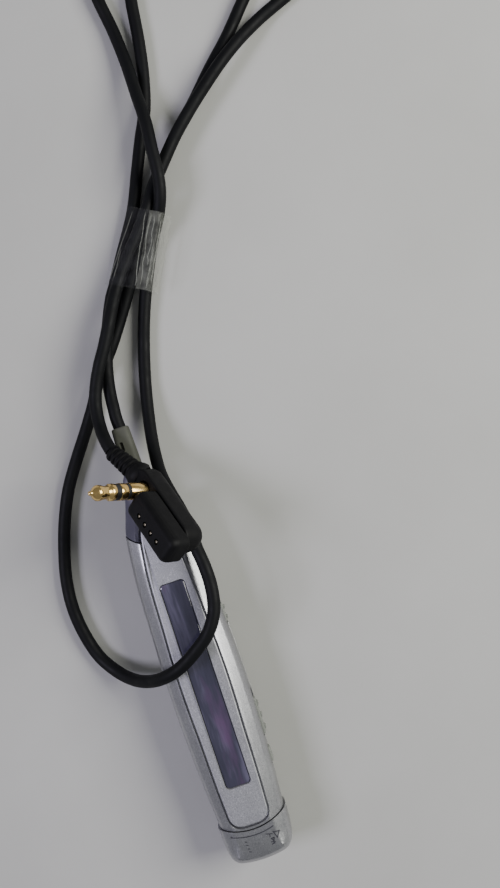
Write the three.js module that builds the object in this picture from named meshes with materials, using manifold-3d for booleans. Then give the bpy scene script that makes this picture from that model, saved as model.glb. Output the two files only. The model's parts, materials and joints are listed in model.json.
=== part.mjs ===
// In-line stick remote control with a display window, its folded cord and its right-angle plug.
// Millimetres. +X runs along the stick towards the end control, +Y is the side with the keys, +Z is out of the display.
// The stick lies on its back clip, whose sole is z = 0. The origin is the middle of the stick's footprint.
import * as THREE from 'three';
import { mergeVertices } from 'three/addons/utils/BufferGeometryUtils.js';
import Module from 'manifold-3d';

const wasm = await Module();
wasm.setup();

// ---------------------------------------------------------------- driving dimensions
const TOP = 12.6;            // top of the face plate
const BACK = 3.0;            // flat back of the case
const AXIS = 7.4;            // parting plane, and the axis of the end control
const WALL = 1.1;            // case wall
const STICK_X = -0.65, STICK_Y = -0.25; // place of the stick's own pieces, so that its footprint is centred on the origin
const TIP_X = -48.45;        // free end of the cord boot
const END_X = 49.75;         // end of the control cap
const BOOT_Y = -0.8, BOOT_Z = 6.0;      // axis of the cord boot
const JACK_Y = 3.8, JACK_Z = 6.6, JACK_BORE = 1.8;  // 3.5 mm socket
const DOME_X = 28.3, DOME_R = 13.5, DOME_GAP = 0.35; // domed joint between case and cap
const NOSE_X = -31.4, NOSE_R = 8.6;     // curved joint between case and nose
const SEAM = 0.12;           // half of the gap between the two case shells
const PIN_X = 20.0, PIN_Z = 1.8;        // clip pivot
const CORD_R = 1.3;          // cord tube radius (2.75 mm cord, drawn a little slim where strands lie together)
const HALF = [[-34, 5.3], [-30, 6.0], [-26, 6.7], [-22.6, 7.15], [-18, 7.6], [-13.7, 7.9], [-9.8, 8.05], [-5.8, 8.15], [-1.7, 8.25],
  [3, 8.4], [10, 8.5], [16, 8.45], [21, 8.3], [27, 8.05], [33, 7.7], [38.5, 7.3], [42, 7.05], [47, 6.7]]; // half width of the case along X
const PLATE = [[-26.6, 2.4], [-26, 2.8], [-21, 3.6], [-15.5, 4.15], [-11, 4.4], [-5, 4.6], [2, 4.9], [8, 5.0], [14, 4.9], [20, 4.7],
  [26, 4.6], [32, 4.45], [36.4, 4.25], [38.2, 3.85], [39.3, 2.9], [39.9, 1.5]];  // half width of the face plate
const PLATE_GAP = 0.35;
const WIN_X = [-13.8, 31.4], WIN_HALF = 2.75;

// ---------------------------------------------------------------- helpers
function solid(g) {
  g = g.index ? g.toNonIndexed() : g.clone();
  for (const a of ['normal', 'uv']) g.deleteAttribute(a);
  const m = mergeVertices(g, 1e-4);
  return new wasm.Manifold(new wasm.Mesh({ numProp: 3, vertProperties: new Float32Array(m.attributes.position.array), triVerts: new Uint32Array(m.index.array) }));
}
function geometry(man) {
  const mesh = man.getMesh(), g = new THREE.BufferGeometry(), n = mesh.vertProperties.length / mesh.numProp, p = new Float32Array(n * 3);
  for (let i = 0; i < n; i++) for (let k = 0; k < 3; k++) p[3 * i + k] = mesh.vertProperties[mesh.numProp * i + k];
  g.setAttribute('position', new THREE.BufferAttribute(p, 3));
  g.setIndex(new THREE.BufferAttribute(new Uint32Array(mesh.triVerts), 1));
  g.computeVertexNormals();
  return g;
}
const boxG = (x0, x1, y0, y1, z0, z1) => new THREE.BoxGeometry(x1 - x0, y1 - y0, z1 - z0).translate((x0 + x1) / 2, (y0 + y1) / 2, (z0 + z1) / 2);
const box = (...a) => solid(boxG(...a));
const cylXG = (x0, x1, y, z, r, n = 20) => new THREE.CylinderGeometry(r, r, x1 - x0, n).rotateZ(Math.PI / 2).translate((x0 + x1) / 2, y, z);
const cylYG = (y0, y1, x, z, r, n = 14) => new THREE.CylinderGeometry(r, r, y1 - y0, n).translate(x, (y0 + y1) / 2, z);
const cylZG = (z0, z1, x, y, r, n = 16) => new THREE.CylinderGeometry(r, r, z1 - z0, n).rotateX(Math.PI / 2).translate(x, y, (z0 + z1) / 2);
const cylX = (...a) => solid(cylXG(...a)), cylY = (...a) => solid(cylYG(...a)), cylZ = (...a) => solid(cylZG(...a));
const sphere = (r) => solid(new THREE.SphereGeometry(r, 32, 20).rotateZ(Math.PI / 2).translate(DOME_X, 0, AXIS));
// A turned piece: profile points [x, r] from one end to the other, turned round an axis along +X.
function turned(profile, y, z, n = 16) {
  const g = new THREE.LatheGeometry(profile.map(([x, r]) => new THREE.Vector2(r, x)), n);
  return g.rotateZ(-Math.PI / 2).translate(0, y, z);
}
const outline = (half) => [...half.map(([x, w]) => new THREE.Vector2(x, -w)), ...[...half].reverse().map(([x, w]) => new THREE.Vector2(x, w))];
// A prism of a plan outline between two heights, with rounded rims.
function slab(points, z0, z1, rim = 0, rise = 0, inset = 0, steps = 3) {
  const shape = new THREE.Shape(points);
  const g = new THREE.ExtrudeGeometry(shape, rim > 0
    ? { depth: z1 - z0 - 2 * rise, bevelEnabled: true, bevelSize: rim, bevelThickness: rise, bevelOffset: -rim - inset, bevelSegments: steps, steps: 1 }
    : { depth: z1 - z0, bevelEnabled: false, steps: 1 });
  return g.translate(0, 0, z0 + (rim > 0 ? rise : 0));
}
// A prism of a side outline [x, z] across Y.
function sideSlab(points, y0, y1) {
  return new THREE.ExtrudeGeometry(new THREE.Shape(points.map(([x, z]) => new THREE.Vector2(x, z))), { depth: y1 - y0, bevelEnabled: false }).rotateX(Math.PI / 2).translate(0, y1, 0);
}
const cut = (a, ...bs) => bs.reduce((s, b) => s.subtract(b), a);
const join = (a, ...bs) => bs.reduce((s, b) => s.add(b), a);

const mats = {
  silver: { color: 0xa9a9b0, roughness: 0.34, metalness: 0.7 }, plate: { color: 0x9c9ca2, roughness: 0.42, metalness: 0.6 },
  nose: { color: 0x54535f, roughness: 0.45, metalness: 0.2 }, boot: { color: 0x55564f, roughness: 0.7, metalness: 0 },
  lens: { color: 0x1b1830, roughness: 0.08, metalness: 0 }, black: { color: 0x15161a, roughness: 0.6, metalness: 0 },
  cord: { color: 0x131418, roughness: 0.65, metalness: 0 }, gold: { color: 0xd9ae62, roughness: 0.2, metalness: 1 },
  steel: { color: 0xb8b8b4, roughness: 0.3, metalness: 1 }, board: { color: 0x1f4a30, roughness: 0.6, metalness: 0 },
  glass: { color: 0x59605a, roughness: 0.1, metalness: 0 }, white: { color: 0xd8d8d2, roughness: 0.5, metalness: 0 },
  grey: { color: 0x6f7072, roughness: 0.5, metalness: 0.1 }, film: { color: 0xc9cbc6, roughness: 0.15, metalness: 0 },
};
const root = new THREE.Group(), stick = new THREE.Group();
stick.position.set(STICK_X, STICK_Y, 0);
root.add(stick);
function add(name, g, mat, parent = stick) {
  const mesh = new THREE.Mesh(g.isBufferGeometry ? g : geometry(g), new THREE.MeshStandardMaterial(mats[mat]));
  mesh.name = name;
  parent.add(mesh);
  return mesh;
}

// ---------------------------------------------------------------- case shells
const keepEnd = sphere(DOME_R).add(box(-60, 37, -20, 20, -10, 30));
const noseCut = cylZ(-10, 30, NOSE_X, 0, NOSE_R + 0.3, 40).add(box(-60, NOSE_X, -20, 20, -10, 30));
const above = solid(sideSlab([[-42, 8.3], [-32, 9.35], [-25, 12.0], [-17, TOP], [38, TOP], [51, 11.9], [51, 20], [-42, 20]], -20, 20));
const shellCut = (s) => cut(s.intersect(keepEnd), noseCut, above);
const cavityX = box(-21, 39.2, -20, 20, -10, 30);
let front = shellCut(solid(slab(outline(HALF), -4, TOP, 3.1, 4.4)));
front = front.intersect(box(-60, 60, -20, 20, AXIS + SEAM, 30));
front = front.subtract(solid(slab(outline(HALF), -6, 10.6, 2.9, 3.2, WALL)).intersect(cavityX));
let back = shellCut(solid(slab(outline(HALF), BACK, 19, 3.0, 3.9)));
back = back.intersect(box(-60, 60, -20, 20, -10, AXIS - SEAM));
back = back.subtract(solid(slab(outline(HALF), 4.1, 20, 2.6, 2.8, WALL)).intersect(cavityX));

// face plate recess, window opening and the openings that both shells share
const plateOutline = outline(PLATE);
const recess = solid(slab(outline(PLATE.map(([x, w], i) => [x + (i < 2 ? -PLATE_GAP : i > 11 ? PLATE_GAP : 0), w + PLATE_GAP])), 11.45, 20));
front = cut(front, recess, box(-12.2, 26.6, -2.2, 2.2, 9, 12));
const SCREWS = [[-18.6, -4.3], [26.0, -4.9]];
for (const [x, y] of SCREWS) {
  front = cut(join(front, cylZ(AXIS + SEAM, 10.8, x, y, 1.6, 12)), cylZ(7, 10.2, x, y, 1.0, 12));
  back = cut(join(back, cylZ(3.3, AXIS - SEAM - 0.1, x, y, 1.6, 12)), cylZ(2, 4.4, x, y, 1.75, 14), cylZ(2, 9, x, y, 1.0, 12));
}
const shared = [
  cylX(36, 44, 0, AXIS, 2.35, 20),                                   // shaft bore
  box(-27, -20.5, 1.1, 6.5, 4.2, 9.0), box(-25, -20, -2.7, -0.1, 4.8, 7.1),  // socket and wires
  box(-5.95, -1.05, 5, 12, 6.0, 8.8), box(26.55, 30.45, 5, 12, 6.0, 8.8), box(13.7, 24.3, 5, 12, 6.0, 8.8), // key slots
];
front = cut(front, ...shared);
back = cut(back, ...shared);
for (const s of [-1, 1]) back = back.add(box(19.1, 20.9, s > 0 ? 3.2 : -4.2, s > 0 ? 4.2 : -3.2, 0.95, 3.6));
back = back.subtract(cylY(-6, 6, PIN_X, PIN_Z, 0.65, 12));
add('front_shell', front, 'silver');
add('back_shell', back, 'silver');

// nose that holds the cord boot and the socket
const noseOutline = [[-38.9, -3.3], [-34.5, -4.1], [-32, -4.75], [-29, -5.7], [-26, -6.7], [-18, -8.0], [-18, 8.0], [-26, 6.9], [-29, 6.6], [-31.4, 6.2],
  [-31.6, 1.9], [-38.9, 1.7]].map(([x, y]) => new THREE.Vector2(x, y));
let nose = cut(solid(slab(noseOutline, 3.2, 12.3, 2.4, 4.0)), above).intersect(cylZ(-10, 30, NOSE_X, 0, NOSE_R, 40).add(box(-60, NOSE_X, -20, 20, -10, 30)));
nose = cut(nose, recess, cylX(-40, -36, BOOT_Y, BOOT_Z, 2.25, 18), cylX(-37.0, -35.4, BOOT_Y, BOOT_Z, 2.95, 18), cylX(-35.5, -20, -1.4, 6.0, 1.35, 10),
  cylX(-36, -29, JACK_Y, JACK_Z, 2.45, 20), box(-29.8, -20, 1.1, 6.5, 4.2, 9.0));
add('end_housing', nose, 'nose');

// face plate and window
let plate = cut(solid(slab(plateOutline, 11.55, TOP + 1)), above);
plate = plate.subtract(box(WIN_X[0], WIN_X[1], -WIN_HALF, WIN_HALF, 11, 14));
add('face_plate', plate, 'plate');
const rr = (x0, x1, h, r) => {
  const s = [];
  for (const [cx, cy, a] of [[x1 - r, -h + r, -90], [x1 - r, h - r, 0], [x0 + r, h - r, 90], [x0 + r, -h + r, 180]])
    for (const d of [0, 30, 60, 90]) s.push(new THREE.Vector2(cx + r * Math.cos((a + d) * Math.PI / 180), cy + r * Math.sin((a + d) * Math.PI / 180)));
  return s;
};
add('display_window', slab(rr(WIN_X[0] + 0.25, WIN_X[1] - 0.25, WIN_HALF - 0.25, 0.8), 11.7, 12.5), 'lens');

// ---------------------------------------------------------------- display and electronics
add('lcd_glass', boxG(-12.6, 27, -3.0, 3.0, 9.2, 10.2), 'glass');
add('lcd_light_guide', boxG(-9.9, 26.8, -2.9, 2.9, 8.0, 8.9), 'white');
add('lcd_connector_strip', boxG(-12.4, -10.4, -2.8, 2.8, 6.7, 8.9), 'grey');
let board = box(-16, 31.5, -4.9, 4.9, 5.6, 6.4);
board = cut(board, box(27.6, 40, -8, 3.3, 5, 7), cylZ(5, 7, 26.0, -4.9, 2.0, 14));
add('main_board', board, 'board');
add('controller_chip', boxG(2, 9, -3, 3, 4.4, 5.3), 'black');
add('board_capacitor', boxG(14, 16.4, -2.4, -0.8, 4.5, 5.3), 'grey');
add('inner_wires', cylXG(-35.1, -16.4, -1.4, 6.0, 0.9, 8), 'black');
let jack = join(box(-29.5, -21.0, 1.4, 6.2, 4.5, 8.7), cylX(-31.5, -29.3, JACK_Y, JACK_Z, 2.15, 20));
jack = cut(jack, cylX(-34, -22.0, JACK_Y, JACK_Z, JACK_BORE, 20));
add('headphone_jack', jack, 'black');
let rotary = box(28.2, 31.4, -2.9, 2.9, 4.5, 10.1);
add('rotary_switch', cut(rotary, cylX(29.0, 32, 0, AXIS, 1.5, 14)), 'grey');
add('display_switch', boxG(-5.3, -1.7, 3.5, 4.8, 6.7, 8.3), 'black');
add('mode_switch', boxG(27.1, 29.9, 3.5, 4.7, 6.7, 8.3), 'black');
add('hold_switch', boxG(17.5, 22.5, 3.5, 4.9, 6.7, 8.3), 'steel');

// ---------------------------------------------------------------- end control
const capHalf = [[34, 7.8], [41.5, 7.6], [44, 7.45], [46, 7.2], [47.4, 6.85], [48.5, 6.0], [49.1, 5.0], [49.45, 3.5], [49.68, 1.8]];
const capOutline = [...outline(capHalf)];
capOutline.splice(capHalf.length, 0, new THREE.Vector2(END_X, 0));
let cap = cut(solid(slab(capOutline, 2.7, 12.5, 2.6, 4.2)), above);
cap = cut(cap, sphere(DOME_R + DOME_GAP), box(20, 37, -20, 20, -10, 30), cylX(36, 45.6, 0, AXIS, 2.2, 20));
add('control_cap', cap, 'silver');
add('control_shaft', turned([[29.6, 0], [29.6, 1.0], [31.9, 1.0], [31.9, 1.9], [32.3, 1.9], [32.3, 2.9], [33.0, 2.9], [33.0, 1.9], [45.2, 1.9], [45.2, 0]], 0, AXIS, 20), 'white');
add('shaft_clip', turned([[36.1, 2.1], [36.1, 2.95], [36.8, 2.95], [36.8, 2.1], [36.1, 2.1]], 0, AXIS, 20), 'steel');
add('control_carrier', cut(box(33.3, 35.8, -4.4, 4.4, 4.7, 10.0), cylX(30, 40, 0, AXIS, 2.3, 20)), 'grey');
add('detent_spring', boxG(31.9, 38.6, -5.5, -5.2, 6.6, 8.2), 'steel');

// ---------------------------------------------------------------- side keys
const displayKey = join(box(-5.6, -1.4, 5.9, 8.35, 6.3, 8.5), box(-6.6, -0.4, 5.5, 6.1, 5.7, 9.1), cylZ(6.3, 8.5, -4.6, 8.3, 0.4, 8), cylZ(6.3, 8.5, -2.4, 8.3, 0.4, 8));
add('display_key', displayKey, 'grey');
const modeKey = join(box(26.9, 30.1, 5.7, 8.35, 6.3, 8.5), box(26.1, 30.9, 5.3, 5.9, 5.7, 9.1));
add('mode_key', modeKey, 'grey');
const holdSlider = join(box(16.0, 24.0, 5.9, 8.65, 6.3, 8.5), box(13.0, 25.6, 5.6, 6.2, 5.7, 9.1), ...[17.4, 20.0, 22.6].map((x) => cylZ(6.3, 8.5, x, 8.5, 0.5, 10)));
add('hold_slider', holdSlider, 'grey');

// ---------------------------------------------------------------- back clip
let clip = join(solid(slab(rr(-12, 28, 3.7, 1.8), 0, 1.2, 0.3, 0.3, 0, 1)), box(-11.6, -9.8, -3.0, 3.0, 1.0, 2.6), cylY(-2.9, 2.9, PIN_X, PIN_Z, 0.95, 14), box(19.3, 20.7, -2.9, 2.9, 0.9, 1.7));
clip = cut(clip, cylY(-6, 6, PIN_X, PIN_Z, 0.65, 12), box(18.6, 21.4, 2.95, 6, -1, 4), box(18.6, 21.4, -6, -2.95, -1, 4), box(18.8, 21.2, -1.1, 1.1, 0.8, 4));
add('back_clip', clip, 'silver');
add('clip_pin', cylYG(-4.1, 4.1, PIN_X, PIN_Z, 0.45, 12), 'steel');
add('clip_spring', new THREE.LatheGeometry([[0.62, -0.8], [0.9, -0.8], [0.9, 0.8], [0.62, 0.8], [0.62, -0.8]].map(([r, y]) => new THREE.Vector2(r, y)), 14).translate(PIN_X, 0, PIN_Z), 'steel');
SCREWS.forEach(([x, y], i) => {
  const g = new THREE.LatheGeometry([[0, 3.35], [1.45, 3.35], [1.45, 4.1], [0.7, 4.1], [0.7, 9.8], [0, 9.8]].map(([r, z]) => new THREE.Vector2(r, z)), 12).rotateX(Math.PI / 2).translate(x, y, 0);
  add(i ? 'case_screw_rear' : 'case_screw_front', g, 'steel');
});

// ---------------------------------------------------------------- cord boot
add('cord_boot', turned([[TIP_X, 0], [TIP_X, 1.75], [TIP_X + 0.5, 2.0], [-45.4, 2.05], [-45.2, 1.8], [-43.2, 1.8], [-43.0, 2.08], [-39.1, 2.15], [-39.0, 1.9], [-36.8, 1.9],
  [-36.8, 2.6], [-35.8, 2.6], [-35.8, 0]], BOOT_Y, BOOT_Z, 18), 'boot');

// ---------------------------------------------------------------- plug
const A = new THREE.Vector3(0.815, 0.302, 0.495).normalize();            // along the plug housing
const P = new THREE.Vector3(-0.213, -0.637, 0.74);
P.addScaledVector(A, -P.dot(A)).normalize();                            // along the plug pin
const W = new THREE.Vector3().crossVectors(P, A).normalize();
const plug = new THREE.Group();
plug.applyMatrix4(new THREE.Matrix4().makeBasis(A, W, P).setPosition(-36.56, 1.57, 14.1));
root.add(plug);
const housingShape = rr(0, 19.2, 3.3, 2.4);
let housing = solid(slab(housingShape, -3.0, 2.4, 1.5, 1.5, 0, 3));
housing = cut(housing, box(6.2, 15.6, -2.6, 2.6, 0.9, 4), cylZ(0.8, 4, 3.0, 0, 2.1, 16));
add('plug_housing', housing, 'black', plug);
// the contact tongue: a root in the housing's recess and a wider head over the housing's face
const headShape = rr(5.1, 20.4, 3.15, 1.2).map((v) => new THREE.Vector2(v.x, v.y - 0.1));
let tongue = join(box(6.5, 15.3, -2.3, 2.3, 1.2, 3.0), solid(slab(headShape, 2.7, 7.2, 0.3, 0.6, 0, 2)));
const contactX = [9.3, 11.6, 13.9, 16.2];
const CONTACT_Y = -0.6;
tongue = cut(tongue, ...contactX.map((x) => cylZ(4.6, 9, x, CONTACT_Y, 0.6, 8)));
add('plug_tongue', tongue, 'black', plug);
contactX.forEach((x, i) => add('plug_contact_' + (i + 1), cylZG(4.9, 7.15, x, CONTACT_Y, 0.33, 8), 'gold', plug));
const pinPiece = (profile) => new THREE.LatheGeometry(profile.map(([r, z]) => new THREE.Vector2(r, z)), 18).rotateX(Math.PI / 2).translate(3.0, 0, 0);
add('plug_sleeve', pinPiece([[0, 1.1], [1.75, 1.1], [1.75, 6.55], [0, 6.55]]), 'gold', plug);
add('plug_insulator_rear', pinPiece([[0, 6.6], [1.68, 6.6], [1.68, 7.35], [0, 7.35]]), 'black', plug);
add('plug_ring', pinPiece([[0, 7.4], [1.75, 7.4], [1.75, 9.1], [0, 9.1]]), 'gold', plug);
add('plug_insulator_front', pinPiece([[0, 9.15], [1.68, 9.15], [1.68, 10.25], [0, 10.25]]), 'black', plug);
add('plug_tip', pinPiece([[0, 10.3], [1.75, 10.3], [1.75, 11.3], [1.25, 12.0], [1.25, 12.8], [1.6, 13.6], [1.5, 14.3], [0.35, 16.2], [0, 16.2]]), 'gold', plug);

// relief between the plug housing and the cord
const reliefStart = new THREE.Vector3(-38.2, 0.45, 13.5), reliefEnd = new THREE.Vector3(-43.9, -3.4, 11.3);
const reliefDir = reliefEnd.clone().sub(reliefStart), reliefLen = reliefDir.length();
const relief = add('plug_relief', new THREE.CylinderGeometry(1.7, 2.3, reliefLen, 12), 'black', root);
relief.quaternion.setFromUnitVectors(new THREE.Vector3(0, 1, 0), reliefDir.clone().normalize());
relief.position.copy(reliefStart.clone().add(reliefEnd).multiplyScalar(0.5));

// ---------------------------------------------------------------- cord
const CORD = {
  case_run: [[-51.39, -1.15, 5.85], [-53.20, -1.03, 5.70], [-56.62, -0.81, 5.00], [-61.05, -0.12, 4.40], [-66.35, 1.40, 4.30], [-71.52, 3.41, 3.90], [-76.72, 5.69, 3.00], [-80.00, 7.58, 2.10], [-85.66, 11.09, 1.95], [-90.09, 13.98, 1.95], [-94.39, 16.58, 1.90], [-102.28, 20.10, 1.45], [-108.80, 23.10, 1.45], [-114.86, 26.07, 1.45], [-121.70, 28.13, 1.45], [-130.09, 29.76, 1.45]],
  inner_loop: [[-139.09, 31.00, 1.45], [-146.77, 32.63, 1.45], [-154.39, 35.89, 1.45], [-160.59, 41.25, 1.45], [-163.33, 48.52, 1.45], [-161.98, 56.07, 1.45], [-156.68, 62.06, 1.45], [-149.35, 64.31, 1.45], [-141.59, 62.89, 1.45], [-135.60, 59.00, 1.45], [-131.16, 54.69, 1.45], [-124.32, 48.41, 1.45], [-119.11, 42.90, 1.45], [-111.85, 35.77, 1.45], [-107.21, 30.68, 1.45], [-102.34, 26.24, 1.45], [-97.97, 22.42, 1.45]],
  lower_loop: [[-93.05, 19.18, 1.90], [-88.54, 16.51, 1.95], [-83.26, 13.34, 1.95], [-78.21, 10.23, 1.90], [-72.18, 6.03, 1.45], [-66.89, 2.14, 1.45], [-63.23, -0.96, 1.45], [-59.85, -3.51, 1.45], [-56.29, -5.52, 1.45], [-50.93, -9.20, 1.45], [-45.64, -13.08, 1.45], [-39.87, -16.90, 1.45], [-33.78, -19.80, 1.45], [-27.47, -22.03, 1.45], [-20.97, -23.69, 1.45], [-14.59, -24.30, 1.45], [-8.27, -23.70, 1.45], [-2.36, -21.99, 1.70], [1.92, -18.69, 3.40], [4.00, -15.27, 6.20], [4.43, -11.47, 10.30], [3.81, -7.52, 14.00], [2.49, -3.60, 16.00], [0.21, 0.46, 16.60], [-2.52, 4.09, 16.80], [-6.32, 6.71, 16.40], [-11.09, 7.78, 15.90], [-15.78, 7.80, 15.30], [-19.78, 7.34, 14.60], [-24.11, 7.18, 13.60], [-28.69, 6.41, 12.38], [-32.96, 5.32, 10.95], [-36.72, 4.55, 8.75], [-40.79, 4.45, 6.40], [-45.29, 4.78, 4.30], [-50.42, 5.55, 2.60], [-56.39, 6.79, 1.60], [-63.71, 8.84, 1.45], [-70.05, 10.97, 1.50], [-75.37, 13.14, 1.85], [-81.05, 15.76, 1.95]],
  outer_loop: [[-86.55, 18.60, 2.40], [-91.06, 21.82, 5.00], [-94.80, 23.58, 6.70], [-98.91, 24.44, 7.25], [-104.26, 24.86, 7.20], [-110.32, 25.42, 6.40], [-117.27, 25.43, 4.60], [-125.83, 25.45, 2.60], [-134.02, 24.97, 1.50], [-141.42, 24.02, 1.45], [-149.11, 23.54, 1.45], [-157.43, 23.97, 1.45], [-165.61, 26.24, 1.45], [-172.94, 31.04, 1.45], [-178.57, 38.81, 1.45], [-180.96, 48.54, 1.45], [-180.24, 59.12, 1.45], [-176.64, 69.20, 1.45], [-170.28, 77.66, 1.45], [-161.88, 83.08, 1.45], [-152.57, 84.90, 1.45], [-143.82, 82.92, 1.45], [-136.56, 77.90, 1.45], [-131.63, 70.85, 1.45], [-128.47, 62.73, 1.45], [-126.08, 57.22, 1.90], [-122.46, 51.10, 3.40], [-118.75, 45.70, 4.25], [-115.19, 41.03, 4.30], [-110.75, 35.61, 4.30], [-106.17, 30.60, 4.30], [-101.38, 26.21, 4.30], [-97.04, 22.46, 4.40], [-92.64, 19.41, 4.75], [-88.60, 16.21, 4.80]],
  plug_run: [[-84.31, 12.47, 4.80], [-79.93, 8.94, 4.90], [-75.53, 6.28, 6.10], [-70.93, 3.86, 7.00], [-66.70, 1.43, 7.10], [-62.94, -0.97, 7.10], [-59.28, -2.93, 6.80], [-56.23, -4.07, 6.80], [-53.40, -4.57, 7.30], [-50.21, -4.64, 8.40], [-46.89, -4.21, 10.10], [-44.67, -3.61, 11.00]],
};
// Each run is the middle part of one curve through all the points, so the runs meet square.
const names = Object.keys(CORD), all = [new THREE.Vector3(STICK_X + TIP_X - 0.3, STICK_Y + BOOT_Y, BOOT_Z)], spans = [];
for (const k of names) {
  const first = all.length - 1;
  for (const p of CORD[k]) all.push(new THREE.Vector3(...p));
  spans.push([k, first, all.length - 1]);
}
const whole = new THREE.CatmullRomCurve3(all, false, 'centripetal');
class Run extends THREE.Curve {
  constructor(a, b) { super(); this.a = a; this.b = b; this.arcLengthDivisions = 400; }
  getPoint(t, target = new THREE.Vector3()) { return whole.getPoint(this.a + (this.b - this.a) * t, target); }
}
const section = new THREE.Shape(Array.from({ length: 8 }, (_, i) => new THREE.Vector2(CORD_R * Math.cos(i * Math.PI / 4), CORD_R * Math.sin(i * Math.PI / 4))));
const STEPS = { case_run: 13, inner_loop: 15, lower_loop: 29, outer_loop: 27, plug_run: 8 };
for (const [k, i0, i1] of spans) {
  const n = all.length - 1, r = new Run(i0 / n, i1 / n), len = r.getLength();
  const trim = 0.16 / len * (i1 - i0) / n;
  const run = new Run(i0 / n + (i0 ? trim : 0), i1 / n - trim);
  add('cord_' + k, new THREE.ExtrudeGeometry(section, { steps: STEPS[k], extrudePath: run, bevelEnabled: false }), 'cord', root);
}

// clear tape round the hank
const tape = new THREE.Group();
const t0 = new THREE.Vector3(-92.6, 18.7, 0), t1 = new THREE.Vector3(-77.4, 10.4, 0);
const tdir = t1.clone().sub(t0).normalize();
const TW = 5.6, TH = 6.9, FILM = 0.2;
const ringOut = rr(-TW, TW, TH / 2, 2.2), ringIn = rr(-TW + FILM, TW - FILM, TH / 2 - FILM, 2.0);
const ringShape = new THREE.Shape(ringOut);
ringShape.holes.push(new THREE.Path(ringIn.slice().reverse()));
const tapeMesh = add('cord_tape', new THREE.ExtrudeGeometry(ringShape, { depth: 17.3, bevelEnabled: false }), 'film', tape);
tape.applyMatrix4(new THREE.Matrix4().makeBasis(new THREE.Vector3(-tdir.y, tdir.x, 0), new THREE.Vector3(0, 0, 1), tdir.clone()).setPosition(t0.x, t0.y, TH / 2));
root.add(tape);

export default root;
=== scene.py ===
import math
import json
import bpy
import bmesh
from mathutils import Vector, Matrix
from mathutils.bvhtree import BVHTree


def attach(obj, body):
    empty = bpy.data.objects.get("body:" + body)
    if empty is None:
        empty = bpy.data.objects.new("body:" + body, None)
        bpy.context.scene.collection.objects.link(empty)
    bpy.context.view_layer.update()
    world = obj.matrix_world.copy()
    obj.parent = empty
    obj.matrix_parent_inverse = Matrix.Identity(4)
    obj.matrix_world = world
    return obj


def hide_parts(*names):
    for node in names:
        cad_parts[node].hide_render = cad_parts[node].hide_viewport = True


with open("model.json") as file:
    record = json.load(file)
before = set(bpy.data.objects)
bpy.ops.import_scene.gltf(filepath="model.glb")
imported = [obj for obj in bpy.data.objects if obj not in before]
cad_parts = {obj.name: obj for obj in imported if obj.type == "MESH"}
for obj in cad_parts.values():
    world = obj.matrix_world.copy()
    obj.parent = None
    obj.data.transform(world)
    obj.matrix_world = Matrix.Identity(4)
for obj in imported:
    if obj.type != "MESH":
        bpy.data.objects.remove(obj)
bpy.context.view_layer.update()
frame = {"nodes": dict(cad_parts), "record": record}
MM = 0.001

# ---------------------------------------------------------------- camera: straight down over the middle of the view
RIGHT, UP = Vector((0.3173, 0.9483, 0)).normalized(), Vector((-0.9483, 0.3173, 0)).normalized()
CAM = Vector((-0.03675, 0.02475, 0.195))
cam_data = bpy.data.cameras.new("camera")
cam_data.sensor_fit = "HORIZONTAL"
cam_data.sensor_width = 36.0
cam_data.lens = 36.0 * 195.0 / 112.36
cam_data.clip_start = 0.005
cam_data.clip_end = 10
cam = bpy.data.objects.new("camera", cam_data)
bpy.context.scene.collection.objects.link(cam)
BACKW = RIGHT.cross(UP)
cam.matrix_world = Matrix(((RIGHT.x, UP.x, BACKW.x, CAM.x), (RIGHT.y, UP.y, BACKW.y, CAM.y), (RIGHT.z, UP.z, BACKW.z, CAM.z), (0, 0, 0, 1)))
bpy.context.scene.camera = cam

# ---------------------------------------------------------------- mesh helpers
def obj_from_bm(name, bm, mats, smooth=True):
    me = bpy.data.meshes.new(name)
    bm.transform(Matrix.Scale(1000, 4))
    bmesh.ops.recalc_face_normals(bm, faces=bm.faces)
    if all(e.is_manifold for e in bm.edges) and bm.calc_volume(signed=True) < 0:
        bmesh.ops.reverse_faces(bm, faces=bm.faces)
    bm.transform(Matrix.Scale(0.001, 4))
    bm.to_mesh(me)
    bm.free()
    for p in me.polygons:
        p.use_smooth = smooth
    for m in mats:
        me.materials.append(m)
    o = bpy.data.objects.new(name, me)
    bpy.context.scene.collection.objects.link(o)
    return o


def apply_mods(o):
    dg = bpy.context.evaluated_depsgraph_get()
    dg.update()
    me = bpy.data.meshes.new_from_object(o.evaluated_get(dg))
    old = o.data
    o.modifiers.clear()
    o.data = me
    bpy.data.meshes.remove(old)
    return o


def hide_tool(o):
    bpy.data.objects.remove(o)


# ---------------------------------------------------------------- material helpers
def new_mat(name):
    m = bpy.data.materials.new(name)
    m.use_nodes = True
    nt = m.node_tree
    nt.nodes.clear()
    out = nt.nodes.new("ShaderNodeOutputMaterial")
    b = nt.nodes.new("ShaderNodeBsdfPrincipled")
    nt.links.new(b.outputs[0], out.inputs[0])
    return m, nt, b


def lin(r, g, b):
    f = lambda c: (c / 255) / 12.92 if c / 255 <= 0.04045 else ((c / 255 + 0.055) / 1.055) ** 2.4
    return (f(r), f(g), f(b), 1.0)


def noise(nt, scale, detail=3.0, rough=0.55, stretch=None):
    tc = nt.nodes.new("ShaderNodeTexCoord")
    mp = nt.nodes.new("ShaderNodeMapping")
    if stretch:
        mp.inputs["Scale"].default_value = stretch
    n = nt.nodes.new("ShaderNodeTexNoise")
    n.inputs["Scale"].default_value = scale
    n.inputs["Detail"].default_value = detail
    n.inputs["Roughness"].default_value = rough
    nt.links.new(tc.outputs["Object"], mp.inputs[0])
    nt.links.new(mp.outputs[0], n.inputs["Vector"])
    return n.outputs[0]


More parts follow.
